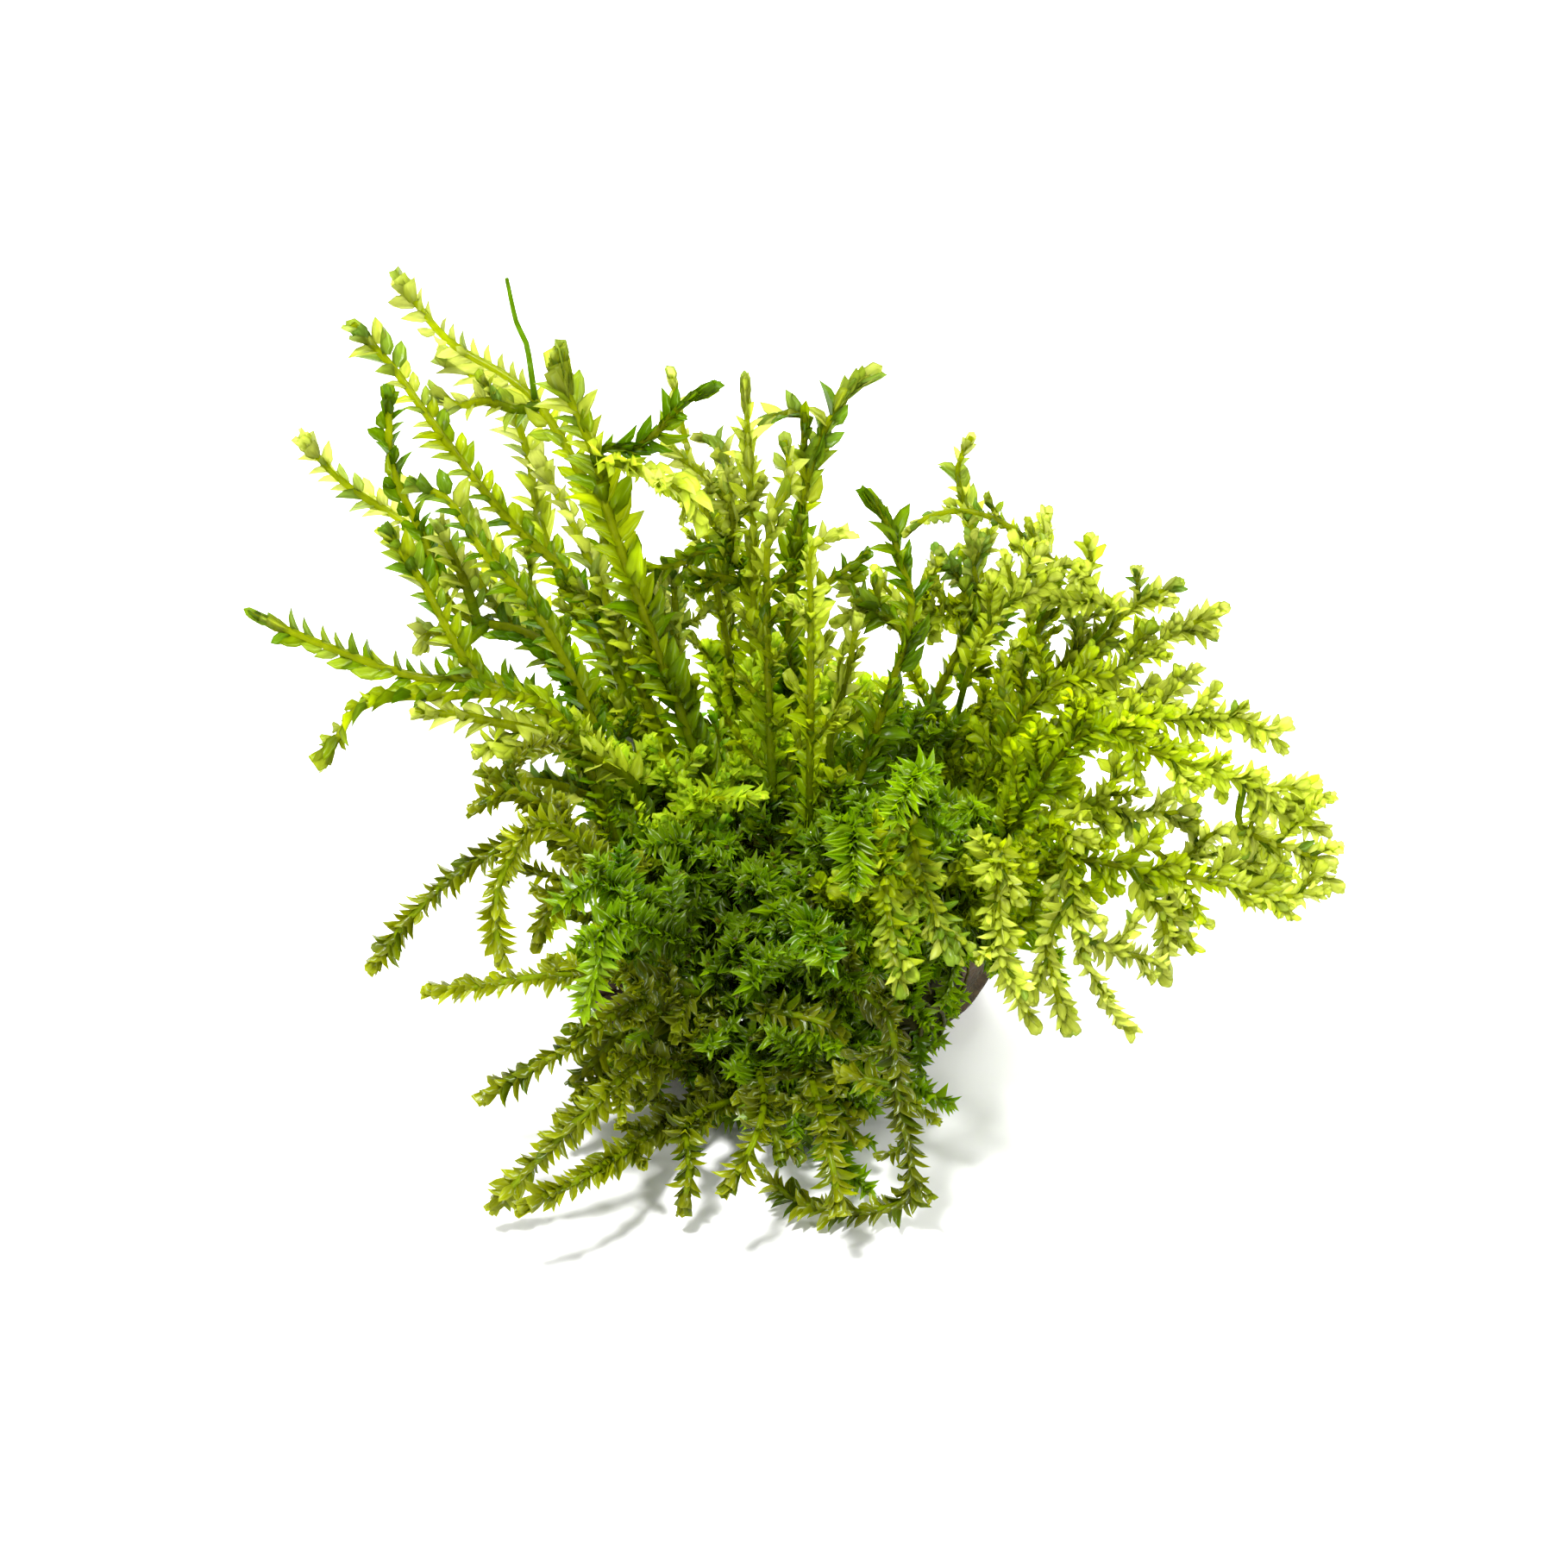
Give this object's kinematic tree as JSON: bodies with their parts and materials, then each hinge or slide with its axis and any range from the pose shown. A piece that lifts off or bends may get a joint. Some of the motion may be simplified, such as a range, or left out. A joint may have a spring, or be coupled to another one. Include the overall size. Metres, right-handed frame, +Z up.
{
  "type": "spiky moss on driftwood",
  "caption": "Clump of spiky water moss on a small flat-cut chip of driftwood, its leafy shoots spreading up and out from a matted dome.",
  "frame": {"origin": "on the driftwood's flat underside, on the surface that the clump stands on", "axes": "+Z up; +X to the right and +Y away from the viewer, seen from the side that the picture shows; the wood lies almost along X"},
  "size_m": [0.0615, 0.0498, 0.0418],
  "materials": {
    "bright_moss": "wet translucent leaf, yellow green",
    "deep_moss": "wet translucent leaf, deep green",
    "old_moss": "matted old stems, dark olive",
    "wet_driftwood": "wet, worn, dark brown"
  },
  "bodies": {
    "root": {"driftwood": "wet_driftwood", "moss_mat": "old_moss", "upper_left_shoot_1": "bright_moss", "upper_left_shoot_2": "bright_moss", "upper_left_shoot_3": "bright_moss", "upper_left_shoot_4": "bright_moss", "upper_left_shoot_5": "bright_moss", "upper_left_shoot_6": "bright_moss", "upper_left_shoot_7": "bright_moss", "upper_left_shoot_8": "bright_moss", "upper_left_shoot_9": "bright_moss", "upper_left_shoot_10": "bright_moss", "upper_left_shoot_11": "bright_moss", "top_shoot_1": "bright_moss", "top_shoot_2": "bright_moss", "top_shoot_3": "bright_moss", "top_shoot_4": "bright_moss", "top_shoot_5": "bright_moss", "top_shoot_6": "bright_moss", "top_shoot_7": "bright_moss", "top_shoot_8": "bright_moss", "top_shoot_9": "bright_moss", "top_shoot_10": "bright_moss", "top_shoot_11": "bright_moss", "right_shoot_1": "bright_moss", "right_shoot_2": "bright_moss", "right_shoot_3": "bright_moss", "right_shoot_4": "bright_moss", "right_shoot_5": "bright_moss", "right_shoot_6": "bright_moss", "right_shoot_7": "bright_moss", "right_shoot_8": "bright_moss", "right_shoot_9": "bright_moss", "right_shoot_10": "bright_moss", "right_shoot_11": "bright_moss", "right_shoot_12": "bright_moss", "right_shoot_13": "bright_moss", "middle_shoot_1": "deep_moss", "middle_shoot_2": "deep_moss", "middle_shoot_3": "deep_moss", "middle_shoot_4": "deep_moss", "middle_shoot_5": "deep_moss", "lower_left_shoot_1": "deep_moss", "lower_left_shoot_2": "deep_moss", "lower_left_shoot_3": "deep_moss", "lower_left_shoot_4": "deep_moss", "lower_left_shoot_5": "deep_moss", "lower_left_shoot_6": "deep_moss", "lower_left_shoot_7": "deep_moss", "lower_shoot_1": "deep_moss", "lower_shoot_2": "deep_moss", "lower_shoot_3": "deep_moss", "lower_shoot_4": "deep_moss", "lower_shoot_5": "deep_moss", "back_shoot_1": "deep_moss", "back_shoot_2": "deep_moss", "back_shoot_3": "deep_moss", "back_shoot_4": "deep_moss", "back_shoot_5": "deep_moss"}
  },
  "joints": []
}
